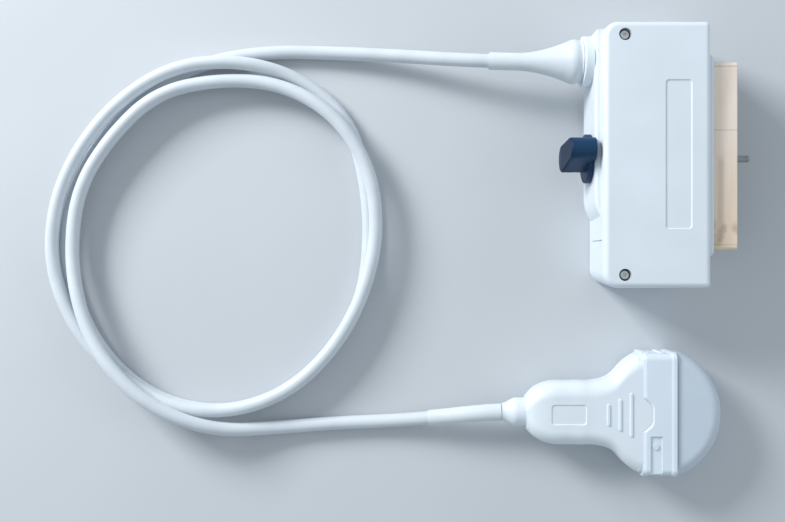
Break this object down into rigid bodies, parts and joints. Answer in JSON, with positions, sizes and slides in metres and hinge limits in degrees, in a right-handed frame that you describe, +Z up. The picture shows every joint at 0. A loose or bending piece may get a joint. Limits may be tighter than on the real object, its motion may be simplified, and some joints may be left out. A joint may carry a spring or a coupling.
{
  "type": "ultrasound transducer probe",
  "caption": "Off-white convex ultrasound transducer with its cable and a flat system connector with a dark lock lever.",
  "frame": {"origin": "On the floor, under the middle of the scanhead and connector together, without the cable", "axes": "+X out of the lens and of the connector's contact face, +Y along the connector, +Z up"},
  "size_m": [0.4235, 0.2648, 0.05],
  "materials": {
    "shell": "Off-white satin moulding",
    "nose": "Off-white satin moulding",
    "lens": "Smooth bluish grey silicone",
    "jacket": "Soft light grey, satin",
    "layer": "Cast filled resin",
    "ceramic": "Polished ceramic sheet",
    "backing": "Cast dark absorber",
    "bare_aluminium": "Milled",
    "flex": "Amber film",
    "board": "Green board",
    "black_plastic": "Black moulding",
    "cores": "Wrapped fine cores",
    "shell_metal": "Plated, pale champagne",
    "insulator": "Black moulding",
    "contact_metal": "Gold plated",
    "steel": "Plain steel",
    "bronze": "Sintered bronze",
    "dark_plastic": "Dark slate moulding"
  },
  "bodies": {
    "probe": {"handle_top_shell": "shell", "handle_bottom_shell": "shell", "cable_gland": "shell", "bottom_cover": "shell", "top_cover": "shell", "boot_flange": "shell", "nose_housing": "nose", "front_bezel": "nose", "acoustic_lens": "lens", "cable": "jacket", "connector_boot": "jacket", "handle_boot": "jacket", "matching_layer": "layer", "piezo_array": "ceramic", "backing_block": "backing", "array_carrier": "bare_aluminium", "cable_ferrule": "bare_aluminium", "flex_circuit_upper": "flex", "flex_circuit_lower": "flex", "handle_board": "board", "connector_board": "board", "contact_board": "board", "handle_terminal": "black_plastic", "board_chips": "black_plastic", "board_link": "black_plastic", "core_terminal": "black_plastic", "handle_cores": "cores", "connector_cores": "cores", "connector_shell": "shell_metal", "contact_block": "insulator", "contact_blades": "contact_metal", "cover_screw_upper": "steel", "cover_screw_lower": "steel", "board_screw_1": "steel", "board_screw_2": "steel", "board_screw_3": "steel", "board_screw_4": "steel", "clamp_screw_upper": "steel", "clamp_screw_lower": "steel", "cable_clamp": "steel", "rear_bushing": "bronze", "front_bushing": "bronze"},
    "lever": {"lock_lever": "dark_plastic", "lever_shaft": "steel", "lever_pin": "steel", "retaining_clip": "steel", "stop_collar": "dark_plastic"}
  },
  "joints": [
    {"name": "lever_turn", "type": "hinge", "parent": "probe", "child": "lever", "pos_m": [0, 0.0564, 0.025], "axis": [1, 0, 0], "range_deg": [0, 90]}
  ]
}
